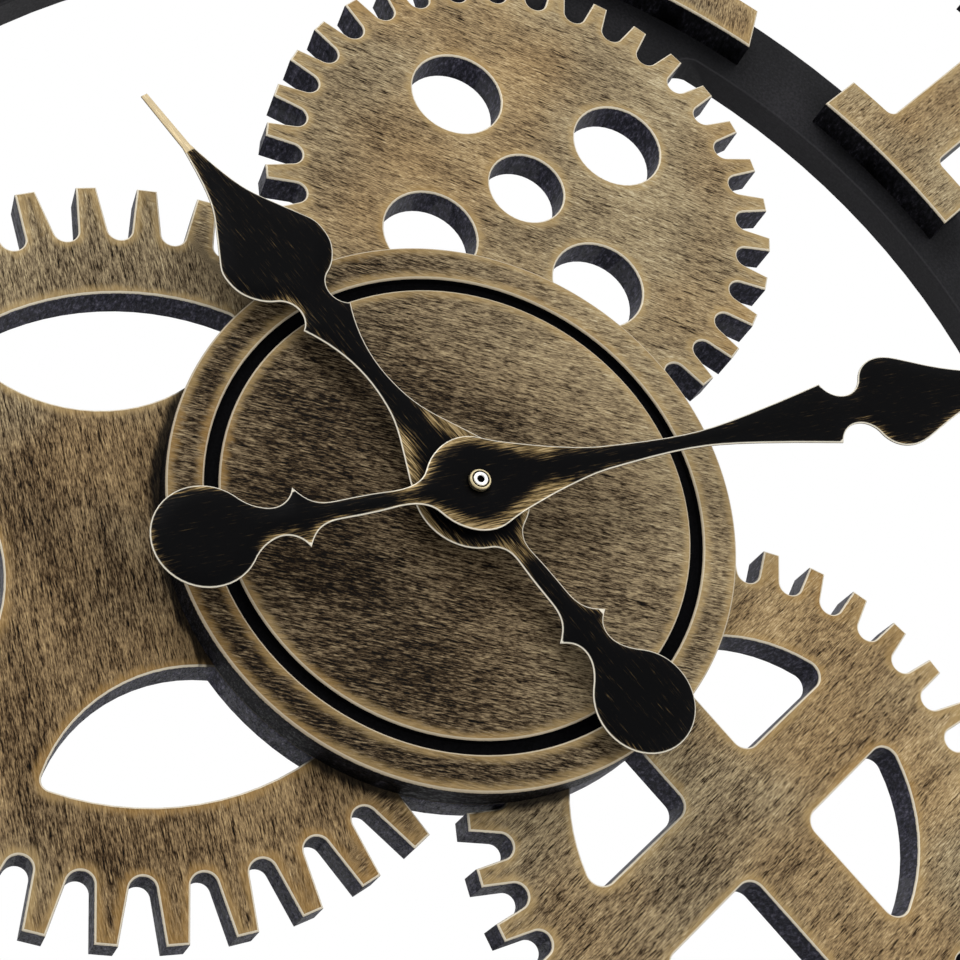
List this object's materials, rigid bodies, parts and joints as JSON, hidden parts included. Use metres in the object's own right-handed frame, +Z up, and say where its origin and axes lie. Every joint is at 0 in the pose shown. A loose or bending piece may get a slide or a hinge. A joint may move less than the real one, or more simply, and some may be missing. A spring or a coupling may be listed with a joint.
{
  "type": "wall clock",
  "caption": "Open-frame wall clock of layered boards: numerals round a ring, three gear shapes behind a grooved disc, spade hands and a battery movement.",
  "frame": {"origin": "on the hands' axis, in the plane of the wall that the ring's back lies on", "axes": "+Z up, +X to the viewer's right, +Y into the wall, so that the dial faces -Y"},
  "size_m": [0.6, 0.0453, 0.6],
  "materials": {
    "gold_board": "antique gold paint brushed over black, worn pale edges",
    "charcoal_board": "matt charcoal paint",
    "hand_sheet": "black lacquer with rubbed bright edges",
    "bright_nickel": "polished nickel",
    "brass": "turned brass",
    "zinc_steel": "zinc plated steel",
    "black_plastic": "fine moulded texture",
    "nylon": "natural nylon",
    "rubber": "matt",
    "battery_wrap": "printed wrap, left plain",
    "circuit_laminate": "solder resist",
    "copper_wire": "enamelled copper wire",
    "magnet": "ground"
  },
  "bodies": {
    "clock_frame": {"ring_frame": "charcoal_board", "gear_board": "gold_board", "dial_disc": "gold_board", "threaded_bush": "brass", "seal_washer": "rubber", "brass_washer": "brass", "hex_nut": "brass", "movement_case": "black_plastic", "movement_back": "black_plastic", "battery": "battery_wrap", "contact_minus": "zinc_steel", "contact_plus": "zinc_steel", "stator": "zinc_steel", "coil_core": "zinc_steel", "coil_bobbin": "nylon", "coil_winding": "copper_wire", "circuit_board": "circuit_laminate", "quartz_crystal": "bright_nickel", "hanger_plate": "zinc_steel", "lug_screws": "zinc_steel", "disc_screws": "zinc_steel", "hanger_screws": "zinc_steel", "numeral_01": "gold_board", "numeral_02": "gold_board", "numeral_03": "gold_board", "numeral_04": "gold_board", "numeral_05": "gold_board", "numeral_06": "gold_board", "numeral_07": "gold_board", "numeral_08": "gold_board", "numeral_09": "gold_board", "numeral_10": "gold_board", "numeral_11": "gold_board", "numeral_12": "gold_board"},
    "minute_body": {"minute_shaft": "brass", "minute_hand": "hand_sheet", "shaft_nut": "bright_nickel"},
    "hour_body": {"hour_wheel": "nylon", "hour_hand": "hand_sheet"},
    "motion_body": {"motion_wheel": "nylon", "set_knob": "nylon"},
    "second_body": {"second_wheel": "nylon"},
    "third_body": {"third_wheel": "nylon"},
    "centre_body": {"centre_wheel": "nylon"},
    "intermediate_body": {"intermediate_wheel": "nylon"},
    "rotor_body": {"rotor_pinion": "nylon", "rotor_magnet": "magnet"}
  },
  "joints": [
    {"name": "minute_turn", "type": "hinge", "parent": "clock_frame", "child": "minute_body", "pos_m": [0, 0, 0], "axis": [0, 1, 0], "continuous": true},
    {"name": "hour_turn", "type": "hinge", "parent": "clock_frame", "child": "hour_body", "pos_m": [0, 0, 0], "axis": [0, 1, 0], "continuous": true},
    {"name": "motion_turn", "type": "hinge", "parent": "clock_frame", "child": "motion_body", "pos_m": [0.00778, 0, -0.00054], "axis": [0, 1, 0], "continuous": true},
    {"name": "second_turn", "type": "hinge", "parent": "clock_frame", "child": "second_body", "pos_m": [0, 0, 0], "axis": [0, 1, 0], "continuous": true},
    {"name": "third_turn", "type": "hinge", "parent": "clock_frame", "child": "third_body", "pos_m": [-0.0013, 0, 0.00739], "axis": [0, 1, 0], "continuous": true},
    {"name": "centre_turn", "type": "hinge", "parent": "clock_frame", "child": "centre_body", "pos_m": [0, 0, 0], "axis": [0, 1, 0], "continuous": true},
    {"name": "intermediate_turn", "type": "hinge", "parent": "clock_frame", "child": "intermediate_body", "pos_m": [-0.00744, 0, -0.00199], "axis": [0, 1, 0], "continuous": true},
    {"name": "rotor_turn", "type": "hinge", "parent": "clock_frame", "child": "rotor_body", "pos_m": [-0.01323, 0, -0.00355], "axis": [0, 1, 0], "continuous": true}
  ],
  "couplings": [
    {"joint": "motion_turn", "follows": "minute_turn", "ratio": -0.33333},
    {"joint": "hour_turn", "follows": "minute_turn", "ratio": 0.083333},
    {"joint": "third_turn", "follows": "second_turn", "ratio": -0.13333},
    {"joint": "centre_turn", "follows": "second_turn", "ratio": 0.016667},
    {"joint": "intermediate_turn", "follows": "second_turn", "ratio": -6},
    {"joint": "rotor_turn", "follows": "second_turn", "ratio": 30}
  ]
}
